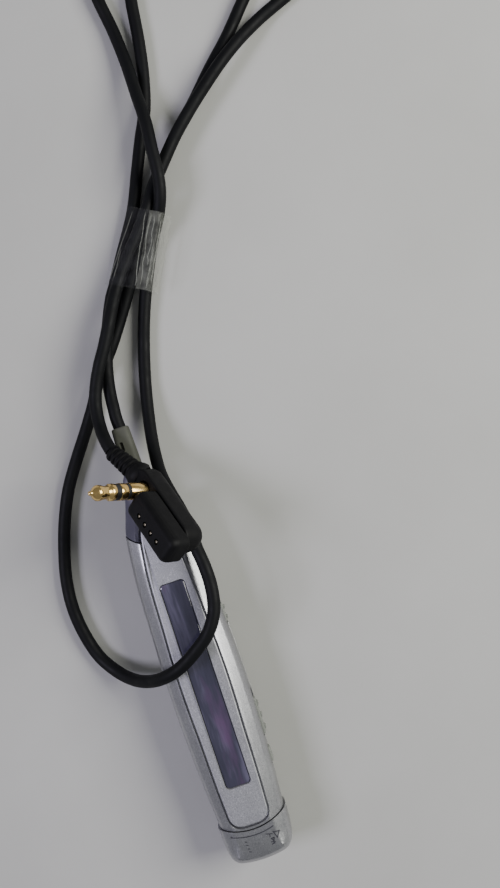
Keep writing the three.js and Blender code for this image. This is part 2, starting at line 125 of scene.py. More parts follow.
def ramp(nt, fac, stops):
    r = nt.nodes.new("ShaderNodeValToRGB")
    e = r.color_ramp.elements
    e[0].position, e[0].color = stops[0]
    e[1].position, e[1].color = stops[-1]
    for p, c in stops[1:-1]:
        x = e.new(p)
        x.color = c
    nt.links.new(fac, r.inputs[0])
    return r.outputs[0]


def maprange(nt, fac, a, b, lo=0.3, hi=0.7):
    m = nt.nodes.new("ShaderNodeMapRange")
    m.inputs["From Min"].default_value, m.inputs["From Max"].default_value = lo, hi
    m.inputs["To Min"].default_value, m.inputs["To Max"].default_value = a, b
    nt.links.new(fac, m.inputs[0])
    return m.outputs[0]


def bump(nt, b, heights, strength=0.3):
    prev = None
    for h, dist in heights:
        n = nt.nodes.new("ShaderNodeBump")
        n.inputs["Strength"].default_value = strength
        n.inputs["Distance"].default_value = dist
        nt.links.new(h, n.inputs["Height"])
        if prev:
            nt.links.new(prev, n.inputs["Normal"])
        prev = n.outputs[0]
    nt.links.new(prev, b.inputs["Normal"])


def mixrgb(nt, fac, a, b, mode="MIX"):
    m = nt.nodes.new("ShaderNodeMix")
    m.data_type = "RGBA"
    m.blend_type = mode
    for socket, v in ((m.inputs[0], fac), (m.inputs[6], a), (m.inputs[7], b)):
        if hasattr(v, "is_linked"):
            nt.links.new(v, socket)
        else:
            socket.default_value = v
    return m.outputs[2]


def plastic(name, dark, light, rough=(0.4, 0.55), grain=9000, depth=0.00002, spec=0.5, coat=0.0, metallic=0.0, wear=True, coat_rough=0.2):
    m, nt, b = new_mat(name)
    big = noise(nt, 160, 4)
    fine = noise(nt, grain, 2)
    col = ramp(nt, big, [(0.3, dark), (0.7, light)])
    if wear:
        scuff = noise(nt, 900, 8, 0.7, (1, 6, 3))
        col = mixrgb(nt, maprange(nt, scuff, 0.0, 0.25, 0.6, 0.75), col, tuple(min(1, c * 1.5 + 0.02) for c in light[:3]) + (1,))
    nt.links.new(col, b.inputs["Base Color"])
    nt.links.new(maprange(nt, noise(nt, 500, 5), rough[0], rough[1]), b.inputs["Roughness"])
    b.inputs["Metallic"].default_value = metallic
    b.inputs["Specular IOR Level"].default_value = spec
    b.inputs["Coat Weight"].default_value = coat
    b.inputs["Coat Roughness"].default_value = coat_rough
    bump(nt, b, [(fine, depth)], 0.35)
    return m


# ---------------------------------------------------------------- cord first: route points repeated from the CAD part, in millimetres
CORD = {
    "case_run": [(-51.39, -1.15, 5.85), (-53.20, -1.03, 5.70), (-56.62, -0.81, 5.00), (-61.05, -0.12, 4.40), (-66.35, 1.40, 4.30), (-71.52, 3.41, 3.90), (-76.72, 5.69, 3.00), (-80.00, 7.58, 2.10), (-85.66, 11.09, 1.95), (-90.09, 13.98, 1.95), (-94.39, 16.58, 1.90), (-102.28, 20.10, 1.45), (-108.80, 23.10, 1.45), (-114.86, 26.07, 1.45), (-121.70, 28.13, 1.45), (-130.09, 29.76, 1.45)],
    "inner_loop": [(-139.09, 31.00, 1.45), (-146.77, 32.63, 1.45), (-154.39, 35.89, 1.45), (-160.59, 41.25, 1.45), (-163.33, 48.52, 1.45), (-161.98, 56.07, 1.45), (-156.68, 62.06, 1.45), (-149.35, 64.31, 1.45), (-141.59, 62.89, 1.45), (-135.60, 59.00, 1.45), (-131.16, 54.69, 1.45), (-124.32, 48.41, 1.45), (-119.11, 42.90, 1.45), (-111.85, 35.77, 1.45), (-107.21, 30.68, 1.45), (-102.34, 26.24, 1.45), (-97.97, 22.42, 1.45)],
    "lower_loop": [(-93.05, 19.18, 1.90), (-88.54, 16.51, 1.95), (-83.26, 13.34, 1.95), (-78.21, 10.23, 1.90), (-72.18, 6.03, 1.45), (-66.89, 2.14, 1.45), (-63.23, -0.96, 1.45), (-59.85, -3.51, 1.45), (-56.29, -5.52, 1.45), (-50.93, -9.20, 1.45), (-45.64, -13.08, 1.45), (-39.87, -16.90, 1.45), (-33.78, -19.80, 1.45), (-27.47, -22.03, 1.45), (-20.97, -23.69, 1.45), (-14.59, -24.30, 1.45), (-8.27, -23.70, 1.45), (-2.36, -21.99, 1.70), (1.92, -18.69, 3.40), (4.00, -15.27, 6.20), (4.43, -11.47, 10.30), (3.81, -7.52, 14.00), (2.49, -3.60, 16.00), (0.21, 0.46, 16.60), (-2.52, 4.09, 16.80), (-6.32, 6.71, 16.40), (-11.09, 7.78, 15.90), (-15.78, 7.80, 15.30), (-19.78, 7.34, 14.60), (-24.11, 7.18, 13.60), (-28.69, 6.41, 12.38), (-32.96, 5.32, 10.95), (-36.72, 4.55, 8.75), (-40.79, 4.45, 6.40), (-45.29, 4.78, 4.30), (-50.42, 5.55, 2.60), (-56.39, 6.79, 1.60), (-63.71, 8.84, 1.45), (-70.05, 10.97, 1.50), (-75.37, 13.14, 1.85), (-81.05, 15.76, 1.95)],
    "outer_loop": [(-86.55, 18.60, 2.40), (-91.06, 21.82, 5.00), (-94.80, 23.58, 6.70), (-98.91, 24.44, 7.25), (-104.26, 24.86, 7.20), (-110.32, 25.42, 6.40), (-117.27, 25.43, 4.60), (-125.83, 25.45, 2.60), (-134.02, 24.97, 1.50), (-141.42, 24.02, 1.45), (-149.11, 23.54, 1.45), (-157.43, 23.97, 1.45), (-165.61, 26.24, 1.45), (-172.94, 31.04, 1.45), (-178.57, 38.81, 1.45), (-180.96, 48.54, 1.45), (-180.24, 59.12, 1.45), (-176.64, 69.20, 1.45), (-170.28, 77.66, 1.45), (-161.88, 83.08, 1.45), (-152.57, 84.90, 1.45), (-143.82, 82.92, 1.45), (-136.56, 77.90, 1.45), (-131.63, 70.85, 1.45), (-128.47, 62.73, 1.45), (-126.08, 57.22, 1.90), (-122.46, 51.10, 3.40), (-118.75, 45.70, 4.25), (-115.19, 41.03, 4.30), (-110.75, 35.61, 4.30), (-106.17, 30.60, 4.30), (-101.38, 26.21, 4.30), (-97.04, 22.46, 4.40), (-92.64, 19.41, 4.75), (-88.60, 16.21, 4.80)],
    "plug_run": [(-84.31, 12.47, 4.80), (-79.93, 8.94, 4.90), (-75.53, 6.28, 6.10), (-70.93, 3.86, 7.00), (-66.70, 1.43, 7.10), (-62.94, -0.97, 7.10), (-59.28, -2.93, 6.80), (-56.23, -4.07, 6.80), (-53.40, -4.57, 7.30), (-50.21, -4.64, 8.40), (-46.89, -4.21, 10.10), (-44.67, -3.61, 11.00)],
}
CORD_D = 2.75
jacket = plastic("cord_jacket", lin(8, 9, 11), lin(14, 15, 17), (0.50, 0.66), 14000, 0.000008, 0.16, wear=False)
pts = [Vector((-0.65 - 48.45 + 0.1, -0.25 - 0.8, 6.0))]
for k in ("case_run", "inner_loop", "lower_loop", "outer_loop", "plug_run"):
    pts += [Vector(p) for p in CORD[k]]


def catmull(P, n=6):
    P = [2 * P[0] - P[1]] + P + [2 * P[-1] - P[-2]]
    out = []
    for i in range(1, len(P) - 2):
        p0, p1, p2, p3 = P[i - 1:i + 3]
        t0 = 0.0
        t1 = t0 + (p1 - p0).length ** 0.5
        t2 = t1 + (p2 - p1).length ** 0.5
        t3 = t2 + (p3 - p2).length ** 0.5
        for j in range(n):
            t = t1 + (t2 - t1) * j / n
            A1 = p0 * ((t1 - t) / (t1 - t0)) + p1 * ((t - t0) / (t1 - t0))
            A2 = p1 * ((t2 - t) / (t2 - t1)) + p2 * ((t - t1) / (t2 - t1))
            A3 = p2 * ((t3 - t) / (t3 - t2)) + p3 * ((t - t2) / (t3 - t2))
            B1 = A1 * ((t2 - t) / (t2 - t0)) + A2 * ((t - t0) / (t2 - t0))
            B2 = A2 * ((t3 - t) / (t3 - t1)) + A3 * ((t - t1) / (t3 - t1))
            out.append(B1 * ((t2 - t) / (t2 - t1)) + B2 * ((t - t1) / (t2 - t1)))
    out.append(P[-2])
    return out


line = catmull(pts, 6)
cu = bpy.data.curves.new("cord", "CURVE")
cu.dimensions = "3D"
cu.bevel_depth = CORD_D / 2 * MM
cu.bevel_resolution = 8
cu.use_fill_caps = True
sp = cu.splines.new("POLY")
sp.points.add(len(line) - 1)
for i, p in enumerate(line):
    sp.points[i].co = (p.x * MM, p.y * MM, p.z * MM, 1)
sp.use_smooth = True
cu.materials.append(jacket)
cord = bpy.data.objects.new("cord", cu)
bpy.context.scene.collection.objects.link(cord)
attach(cord, "case")
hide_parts("cord_case_run", "cord_inner_loop", "cord_lower_loop", "cord_outer_loop", "cord_plug_run")

# ---------------------------------------------------------------- floor, light
floor_mat, nt, b = new_mat("floor")
nt.links.new(ramp(nt, noise(nt, 14, 6), [(0.3, lin(176, 176, 172)), (0.7, lin(186, 186, 183))]), b.inputs["Base Color"])
b.inputs["Roughness"].default_value = 0.85
bump(nt, b, [(noise(nt, 2500, 3), 0.00002)], 0.3)
bm = bmesh.new()
bmesh.ops.create_grid(bm, x_segments=1, y_segments=1, size=3.0)
floor = obj_from_bm("floor", bm, [floor_mat], False)
floor.location = (0, 0, -0.0001)


def area(name, where, target, size, power, color=(1, 1, 1), size_y=None):
    d = bpy.data.lights.new(name, "AREA")
    d.shape = "RECTANGLE"
    d.size, d.size_y = size, size_y or size
    d.energy = power
    d.color = color
    o = bpy.data.objects.new(name, d)
    bpy.context.scene.collection.objects.link(o)
    o.location = where
    o.rotation_euler = (Vector(target) - Vector(where)).to_track_quat("-Z", "Y").to_euler()
    return o


C = Vector((-0.03, 0.01, 0))
side = lambda r, u, z: tuple(C + RIGHT * r + UP * u + Vector((0, 0, z)))
area("key_soft", side(0.34, 0.13, 0.30), tuple(C), 0.26, 2.55, (1.0, 1.0, 0.93))
area("fill_left", side(-0.55, -0.08, 0.60), tuple(C), 0.26, 4.0, (0.84, 0.80, 1.0))
world = bpy.data.worlds.new("world")
bpy.context.scene.world = world
world.use_nodes = True
world.node_tree.nodes["Background"].inputs[0].default_value = (0.9, 0.92, 0.95, 1)
world.node_tree.nodes["Background"].inputs[1].default_value = 0.22

# ---------------------------------------------------------------- materials
silver, nt, b = new_mat("silver_case")
fleck = noise(nt, 5200, 2, 0.6)
tone = ramp(nt, noise(nt, 110, 4), [(0.3, lin(166, 166, 171)), (0.7, lin(183, 184, 186))])
tone = mixrgb(nt, maprange(nt, fleck, 0.0, 0.55, 0.52, 0.72), tone, lin(226, 226, 226))
nt.links.new(mixrgb(nt, maprange(nt, noise(nt, 4300, 2, 0.6), 0.45, 0.0, 0.30, 0.46), tone, lin(96, 95, 100)), b.inputs["Base Color"])
b.inputs["Metallic"].default_value = 0.92
nt.links.new(maprange(nt, fleck, 0.28, 0.42), b.inputs["Roughness"])
bump(nt, b, [(fleck, 0.000014)], 0.6)
plate_m, nt, b = new_mat("satin_plate")
sparkle = noise(nt, 5600, 2, 0.7)
tone = ramp(nt, noise(nt, 120, 4), [(0.3, lin(162, 162, 167)), (0.7, lin(178, 179, 184))])
tone = mixrgb(nt, maprange(nt, sparkle, 0.0, 0.6, 0.52, 0.70), tone, lin(232, 232, 234))
nt.links.new(mixrgb(nt, maprange(nt, noise(nt, 4700, 2, 0.6), 0.5, 0.0, 0.30, 0.46), tone, lin(90, 90, 95)), b.inputs["Base Color"])
b.inputs["Metallic"].default_value = 0.7
nt.links.new(maprange(nt, sparkle, 0.38, 0.58), b.inputs["Roughness"])
bump(nt, b, [(sparkle, 0.000014)], 0.6)
# painted shade: the dark violet-grey is the shaded, purple-lit tone of grey plastic like the boot's, given to the whole
# nose
nose_painted_shade_m = plastic("violet_grey_plastic", lin(72, 71, 84), lin(86, 84, 98), (0.36, 0.5), 6000, 0.000014, 0.4, 0.0)
boot_m = plastic("boot_rubber", lin(68, 69, 62), lin(80, 81, 73), (0.6, 0.75), 8000, 0.000014, 0.3)
key_m = plastic("key_grey", lin(122, 125, 120), lin(140, 143, 138), (0.4, 0.52), 9000, 0.000010)
plug_m = plastic("plug_black", lin(6, 6, 8), lin(11, 11, 13), (0.50, 0.66), 7000, 0.000016, 0.18, wear=False)
black_m = plastic("black_plastic", lin(20, 20, 22), lin(34, 34, 36), (0.35, 0.5), 9000)
grey_m = plastic("grey_plastic", lin(110, 110, 112), lin(128, 128, 130), (0.4, 0.55), 9000)
white_m = plastic("white_plastic", lin(214, 214, 208), lin(228, 228, 222), (0.4, 0.5), 9000)
board_m = plastic("circuit_board", lin(28, 78, 48), lin(38, 96, 60), (0.3, 0.45), 2500, 0.00002, 0.5, 0.3)
steel_m = plastic("steel", lin(180, 180, 176), lin(205, 205, 200), (0.22, 0.4), 6000, 0.000006, 0.5, 0.0, 1.0)
gold_m = plastic("gold_plate", lin(232, 192, 118), lin(248, 216, 146), (0.16, 0.28), 9000, 0.000003, 0.5, 0.0, 1.0, False)

lens_m, nt, b = new_mat("tinted_window")
# painted reflection: the lighter purple streaks and the magenta mix stand in for glare and reflected light on the
# glossy lens; the darkest tone is the lens's own tint
tint_and_painted_reflection = ramp(nt, noise(nt, 150, 4, 0.6, (0.22, 1.5, 1)), [(0.34, lin(40, 40, 54)), (0.50, lin(58, 57, 74)), (0.62, lin(92, 88, 110)), (0.74, lin(128, 118, 144))])
nt.links.new(mixrgb(nt, maprange(nt, noise(nt, 210, 3, 0.5, (0.30, 1.2, 1)), 0.0, 0.75, 0.56, 0.72), tint_and_painted_reflection, lin(92, 66, 100)), b.inputs["Base Color"])
nt.links.new(maprange(nt, noise(nt, 400, 4), 0.05, 0.12), b.inputs["Roughness"])
b.inputs["Coat Weight"].default_value = 1.0
b.inputs["Coat Roughness"].default_value = 0.04
b.inputs["IOR"].default_value = 1.52
bump(nt, b, [(noise(nt, 130, 3), 0.00003)], 0.12)

glass_m, nt, b = new_mat("lcd_glass")
nt.links.new(ramp(nt, noise(nt, 300, 3), [(0.3, lin(128, 134, 126)), (0.7, lin(140, 146, 138))]), b.inputs["Base Color"])
nt.links.new(maprange(nt, noise(nt, 700, 3), 0.06, 0.14), b.inputs["Roughness"])

def film(name, dark, light, a0, a1, scale=420, stretch=(3, 1, 1)):
    m, nt, b = new_mat(name)
    # painted sheen: the light grey base colour at low alpha stands in for light reflected off the clear film
    nt.links.new(ramp(nt, noise(nt, 500, 4), [(0.3, dark), (0.7, light)]), b.inputs["Base Color"])
    nt.links.new(maprange(nt, noise(nt, 900, 4), 0.16, 0.30), b.inputs["Roughness"])
    nt.links.new(maprange(nt, noise(nt, scale, 4, 0.6, stretch), a0, a1), b.inputs["Alpha"])
    b.inputs["IOR"].default_value = 1.49
    bump(nt, b, [(noise(nt, 600, 3), 0.00002)], 0.25)
    return m


# painted sheen: a faint violet-grey veil over the hank
film_sheen_m = film("clear_film", lin(120, 120, 128), lin(150, 150, 156), 0.008, 0.028, 160)
# painted highlight: the light grey ridges stand in for the glint along the folds and the film's end edges
crease_highlight_m = film("film_crease_highlight", lin(170, 172, 164), lin(200, 202, 194), 0.10, 0.26, 700)
# painted sheen: the pale greenish-grey stands in for light caught on the crumpled tail
tail_sheen_m = film("film_tail_sheen", lin(140, 142, 134), lin(172, 174, 166), 0.04, 0.13, 500, (1, 1, 1))
contact_m = plastic("contact_metal", lin(120, 114, 98), lin(150, 144, 126), (0.35, 0.5), 9000, 0.000003, 0.5, 0.0, 1.0, False)

SLOT_MAT = {"silver_case": silver, "satin_plate": plate_m, "violet_grey_plastic": nose_painted_shade_m, "tinted_window": lens_m, "lcd_glass": glass_m, "white_plastic": white_m,
            "grey_plastic": grey_m, "key_grey": key_m, "circuit_board": board_m, "black_plastic": black_m, "steel": steel_m, "boot_rubber": boot_m,
            "cord_jacket": jacket, "plug_black": plug_m, "gold_plate": gold_m, "clear_film": film_sheen_m}
slot_of = {s["node"]: s["material_slot"] for s in frame["record"]["subparts"]}
for n, o in frame["nodes"].items():
    o.data.materials.clear()
    o.data.materials.append(SLOT_MAT[slot_of[n]])

# ---------------------------------------------------------------- refined pieces
import numpy as np
STX, STY = -0.65, -0.25
TOP, AXIS, BACK = 12.6, 7.4, 3.0
HALF = [(-34, 5.3), (-30, 6.0), (-26, 6.7), (-22.6, 7.15), (-18, 7.6), (-13.7, 7.9), (-9.8, 8.05), (-5.8, 8.15), (-1.7, 8.25), (3, 8.4), (10, 8.5), (16, 8.45), (21, 8.3),
        (27, 8.05), (33, 7.7), (38.5, 7.3), (42, 7.05), (47, 6.7)]
PLATE = [(-26.6, 2.4), (-26, 2.8), (-21, 3.6), (-15.5, 4.15), (-11, 4.4), (-5, 4.6), (2, 4.9), (8, 5.0), (14, 4.9), (20, 4.7), (26, 4.6), (32, 4.45), (36.4, 4.25)]
ABOVE = [(-42, 8.3), (-37, 8.75), (-32, 9.35), (-28.5, 10.5), (-25, 11.6), (-21, 12.3), (-17, 12.6), (38, 12.6), (44, 12.45), (51, 12.1)]
DOME_X, DOME_R, NOSE_X, NOSE_R = 28.3, 13.5, -31.4, 8.6


def pchip(table, x):
    X, Y = [p[0] for p in table], [p[1] for p in table]
    n = len(X)
    h = [X[i + 1] - X[i] for i in range(n - 1)]
    d = [(Y[i + 1] - Y[i]) / h[i] for i in range(n - 1)]
    m = [d[0]] + [0 if d[i - 1] * d[i] <= 0 else (h[i - 1] + h[i]) * 3 * d[i - 1] * d[i] / ((h[i - 1] + 2 * h[i]) * d[i] + (2 * h[i - 1] + h[i]) * d[i - 1]) for i in range(1, n - 1)] + [d[-1]]
    x = max(X[0], min(X[-1], x))
    i = max(j for j in range(n - 1) if X[j] <= x + 1e-9)
    t = (x - X[i]) / h[i]
    return (Y[i] * (1 + 2 * t) * (1 - t) ** 2 + h[i] * m[i] * t * (1 - t) ** 2 + Y[i + 1] * t * t * (3 - 2 * t) + h[i] * m[i + 1] * t * t * (t - 1))


def slope(z, x):
    return AXIS + (z - AXIS) * (pchip(ABOVE, x) - AXIS) / (TOP - AXIS) if z > AXIS else z


def resample(P, step):
    P = [Vector((p[0], p[1])) for p in P]
    P.append(P[0])
    out = []
    for a, b in zip(P, P[1:]):
        n = max(1, round((b - a).length / step))
        out += [a.lerp(b, i / n) for i in range(n)]
    return out


def chaikin(P, times=2):
    P = [Vector((p[0], p[1])) for p in P]
    for _ in range(times):
        Q = []
        for i, a in enumerate(P):
            b = P[(i + 1) % len(P)]
            Q += [a.lerp(b, 0.25), a.lerp(b, 0.75)]
        P = Q
    return P


def offset(P, d, squeeze=None):
    """The closed outline P, counter-clockwise, moved inwards by d, or by d times squeeze(x)."""
    out = []
    n = len(P)
    for i in range(n):
        t1, t2 = (P[i] - P[i - 1]), (P[(i + 1) % n] - P[i])
        t1 = t1.normalized() if t1.length > 1e-9 else t2.normalized()
        t2 = t2.normalized() if t2.length > 1e-9 else t1
        n1, n2 = Vector((-t1.y, t1.x)), Vector((-t2.y, t2.x))
        m = (n1 + n2)
        m = m / max(0.35, m.length_squared / 2) if m.length > 1e-6 else n1
        out.append(P[i] + m * d * (squeeze(P[i].x) if squeeze else 1))
    return out


def prism(name, P, rings, mats=(), place=None, sloped=True, angle=35, squeeze=None):
    """A closed body of an outline P: rings of (z, inset), bottom first."""
    bm = bmesh.new()
    loops = []
    for z, d in rings:
        loop = []
        for p in offset(P, d, squeeze):
            zz = slope(z, p.x) if sloped else z
            loop.append(bm.verts.new((p.x, p.y, zz)))
        loops.append(loop)
    n = len(P)
    for a, b in zip(loops, loops[1:]):
        for i in range(n):
            bm.faces.new((a[i], a[(i + 1) % n], b[(i + 1) % n], b[i]))
    bm.faces.new(loops[0][::-1])
    bm.faces.new(loops[-1])
    if place:
        bm.transform(place)
    bm.transform(Matrix.Scale(MM, 4))
    o = obj_from_bm(name, bm, mats)
    o.data.set_sharp_from_angle(angle=math.radians(angle))
    return o


STICK = Matrix.Translation((STX, STY, 0))


def boolean(o, tool, op="DIFFERENCE", keep=False):
    m = o.modifiers.new("b", "BOOLEAN")
    m.operation, m.object, m.solver = op, tool, "MANIFOLD"
    apply_mods(o)
    if not keep:
        hide_tool(tool)
    return o


def shade(o, angle=35):
    for p in o.data.polygons:
        p.use_smooth = True
    o.data.set_sharp_from_angle(angle=math.radians(angle))
    return o


def soften(o, voxel, times=6, keep=None, factor=0.6):
    r = o.modifiers.new("r", "REMESH")
    r.mode, r.voxel_size = "VOXEL", voxel * MM
    s = o.modifiers.new("s", "SMOOTH")
    s.iterations, s.factor = times, factor
    if keep:
        d = o.modifiers.new("d", "DECIMATE")
        d.ratio = keep
    apply_mods(o)
    for p in o.data.polygons:
        p.use_smooth = True
    return o


def tbox(x0, x1, y0, y1, z0, z1, place=None):
    bm = bmesh.new()
    bmesh.ops.create_cube(bm, size=1)
    bm.transform(Matrix.Translation(((x0 + x1) / 2, (y0 + y1) / 2, (z0 + z1) / 2)) @ Matrix.Diagonal((x1 - x0, y1 - y0, z1 - z0, 1)))
    bm.transform((place or Matrix.Identity(4)))
    bm.transform(Matrix.Scale(MM, 4))
    return obj_from_bm("tool", bm, [], False)


def tcyl(a, b, r, n=64, r2=None, place=None, name="tool"):
    a, b = Vector(a), Vector(b)
    bm = bmesh.new()
    bmesh.ops.create_cone(bm, cap_ends=True, segments=n, radius1=r, radius2=r if r2 is None else r2, depth=(b - a).length)
    q = (b - a).to_track_quat("Z", "Y").to_matrix().to_4x4()
    bm.transform(Matrix.Translation((a + b) / 2) @ q)
    bm.transform(place or Matrix.Identity(4))
    bm.transform(Matrix.Scale(MM, 4))
    return obj_from_bm(name, bm, [])


def tsphere(c, r):
    bm = bmesh.new()
    bmesh.ops.create_uvsphere(bm, u_segments=96, v_segments=48, radius=r)
    bm.transform(Matrix.Translation(c))
    bm.transform(Matrix.Scale(MM, 4))
    return obj_from_bm("tool", bm, [])


def lathe(name, profile, mats, place, n=48, angle=40):
    """A turned piece about local Z: profile of (r, z), from axis to axis."""
    bm = bmesh.new()
    loops = []
    for r, z in profile:
        loops.append([bm.verts.new((0, 0, z))] if r < 1e-6 else [bm.verts.new((r * math.cos(2 * math.pi * i / n), r * math.sin(2 * math.pi * i / n), z)) for i in range(n)])
    for a, b in zip(loops, loops[1:]):
        for i in range(n):
            j = (i + 1) % n
            q = [a[i % len(a)], a[j % len(a)], b[j % len(b)], b[i % len(b)]]
            u = []
            for v in q:
                if v not in u:
                    u.append(v)
            if len(u) > 2:
                bm.faces.new(u)
    bm.transform(place)
    bm.transform(Matrix.Scale(MM, 4))
    o = obj_from_bm(name, bm, mats)
    o.data.set_sharp_from_angle(angle=math.radians(angle))
    return o


def finish_piece(o, body, slotname, *nodes):
    if not o.data.materials:
        o.data.materials.append(SLOT_MAT[slotname])
    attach(o, body)
    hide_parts(*nodes)
    return o


def symmetric(table, step=0.7, extra=()):
    x0, x1 = table[0][0], table[-1][0]
    n = round((x1 - x0) / step)
    xs = [x0 + (x1 - x0) * i / n for i in range(n + 1)]
    return [Vector((x, -pchip(table, x))) for x in xs] + list(extra) + [Vector((x, pchip(table, x))) for x in reversed(xs)]


# --- case shells
case_line = symmetric(HALF)
front_rings = [(AXIS + 0.12, 0.10), (AXIS + 0.2, 0.0), (8.6, 0.05), (9.6, 0.24), (10.3, 0.52), (10.75, 0.80), (10.98, 1.0), (11.15, 1.22), (11.45, 1.62), (12.1, 2.48),
               (12.33, 2.82), (12.5, 3.16), (12.58, 3.5), (12.6, 3.9)]
back_rings = [(3.0, 3.3), (3.06, 2.6), (3.25, 1.9), (3.6, 1.3), (4.1, 0.78), (4.8, 0.36), (5.6, 0.12), (6.4, 0.02), (AXIS - 0.2, 0.0), (AXIS - 0.12, 0.10)]
plate_end = [Vector((36.4 + 3.5 * math.sin(a) ** 0.8 if 0 < a < math.pi else 36.4, -4.25 * math.cos(a) * (1 if abs(math.cos(a)) > 0.999 else abs(math.cos(a)) ** -0.45))) for a in
             [math.pi * i / 36 for i in range(1, 36)]]
plate_line = symmetric(PLATE, 0.7, plate_end)
recess_line = offset(plate_line, -0.42)


def end_cuts(o):
    boolean(o, tcyl((NOSE_X + STX, STY, -10), (NOSE_X + STX, STY, 30), NOSE_R + 0.22, 128))
    boolean(o, tbox(-60, NOSE_X + STX, -20, 20, -10, 30))
    keep = tsphere((DOME_X + STX, STY, AXIS), DOME_R)
    boolean(keep, tbox(-60, 37 + STX, -20, 20, -10, 30), "UNION")
    boolean(o, keep, "INTERSECT")
    return o


front = end_cuts(prism("front_case", case_line, front_rings, [silver], STICK))
boolean(front, prism("tool", recess_line, [(11.4, 0), (12.42, 0), (12.62, -0.16), (13.4, -0.16)], (), STICK))
boolean(front, tbox(-12.2 + STX, 26.6 + STX, -2.2 + STY, 2.2 + STY, 8.5, 12))
hollow = prism("tool", offset(case_line, 1.2), [(6.0, 0), (9.0, 0.1), (10.2, 0.9), (10.6, 2.0)], (), STICK, False)
boolean(hollow, tbox(-21 + STX, 39.2 + STX, -20, 20, -10, 30), "INTERSECT")
boolean(front, hollow)
back = end_cuts(prism("back_case", case_line, back_rings, [silver], STICK, False))
hollow = prism("tool", offset(case_line, 1.2), [(4.2, 2.4), (4.7, 1.0), (5.6, 0.1), (9.0, 0)], (), STICK, False)
boolean(hollow, tbox(-21 + STX, 39.2 + STX, -20, 20, -10, 30), "INTERSECT")
boolean(back, hollow)
for s, (k0, k1) in enumerate(((-5.95, -1.05), (26.55, 30.45), (13.7, 24.3))):
    for o in (front, back):
        boolean(o, tbox(k0 + STX, k1 + STX, 5 + STY, 12 + STY, 6.0, 8.8))
for o in (front, back):
    boolean(o, tcyl((36 + STX, STY, AXIS), (44 + STX, STY, AXIS), 2.35))
for s in (-1, 1):
    ear = [(19.1, 1.6), (19.3, 1.1), (19.7, 0.95), (20.3, 0.95), (20.7, 1.1), (20.9, 1.6), (20.9, 3.6), (19.1, 3.6)]
    bm = bmesh.new()
    ys = (3.2, 4.2) if s > 0 else (-4.2, -3.2)
    vs = [[bm.verts.new((x + STX, y + STY, z)) for x, z in ear] for y in ys]
    for i in range(len(ear)):
        j = (i + 1) % len(ear)
        bm.faces.new((vs[0][i], vs[0][j], vs[1][j], vs[1][i]))
    bm.faces.new(vs[0][::-1])
    bm.faces.new(vs[1])
    bm.transform(Matrix.Scale(MM, 4))
    boolean(back, obj_from_bm("tool", bm, [], False), "UNION")
boolean(back, tcyl((20 + STX, -6, 1.8), (20 + STX, 6, 1.8), 0.65, 32))
for x, y in ((-18.6, -4.3), (26.0, -4.9)):
    boolean(back, tcyl((x + STX, y + STY, 2), (x + STX, y + STY, 4.4), 1.75, 48))
finish_piece(shade(front), "case", "silver_case", "front_shell")
finish_piece(shade(back), "case", "silver_case", "back_shell")

# --- face plate and window
plate = prism("face_plate_satin", plate_line, [(11.55, 0.05), (12.38, 0.0), (12.52, 0.05), (12.6, 0.16), (12.62, 0.32)], [plate_m], STICK)


def rrect(x0, x1, h, r, n=10):
    out = []
    for cx, cy, a in ((x1 - r, -h + r, -90), (x1 - r, h - r, 0), (x0 + r, h - r, 90), (x0 + r, -h + r, 180)):
        out += [Vector((cx + r * math.cos(math.radians(a + 90 * i / n)), cy + r * math.sin(math.radians(a + 90 * i / n)))) for i in range(n + 1)]
    return out


def dense(P, step=1.2):
    return resample(P, step)


boolean(plate, prism("tool", dense(rrect(-13.8, 31.4, 2.75, 0.9)), [(11, 0), (12.4, 0), (12.68, -0.16), (14, -0.16)], (), STICK))
finish_piece(shade(plate, 30), "case", "satin_plate", "face_plate")
lens = prism("window_lens", dense(rrect(-13.68, 31.28, 2.64, 0.82)), [(11.7, 0.1), (12.3, 0.0), (12.44, 0.05), (12.5, 0.16), (12.53, 0.32), (12.55, 0.5), (12.555, 0.66)], [lens_m], STICK)
finish_piece(lens, "case", "tinted_window", "display_window")

# --- end control cap
CAPHALF = [(34, 7.8), (41.5, 7.6), (44, 7.45), (46, 7.2), (47.4, 6.85), (48.5, 6.0), (49.1, 5.0), (49.45, 3.5), (49.68, 1.8)]
CAPHALF = [(x if x < 44 else 44 + (x - 44) * 0.85, w) for x, w in CAPHALF]
cap_line = chaikin(resample([(x, -w) for x, w in CAPHALF] + [(44 + 5.78 * 0.85, 0)] + [(x, w) for x, w in reversed(CAPHALF)], 0.9), 1)
cap_rings = [(2.7, 2.7), (2.78, 2.1), (3.1, 1.4), (3.7, 0.75), (4.6, 0.28), (5.8, 0.05), (7.4, 0.0), (8.8, 0.05), (9.8, 0.26), (10.5, 0.55), (10.95, 0.82), (11.15, 1.02), (11.3, 1.2),
             (11.62, 1.6), (12.1, 2.3), (12.33, 2.7), (12.48, 3.05), (12.55, 3.4)]
def end_squeeze(x):
    return 1.0 if x < 44 else max(0.6, 1.0 - (x - 44) * 0.10)


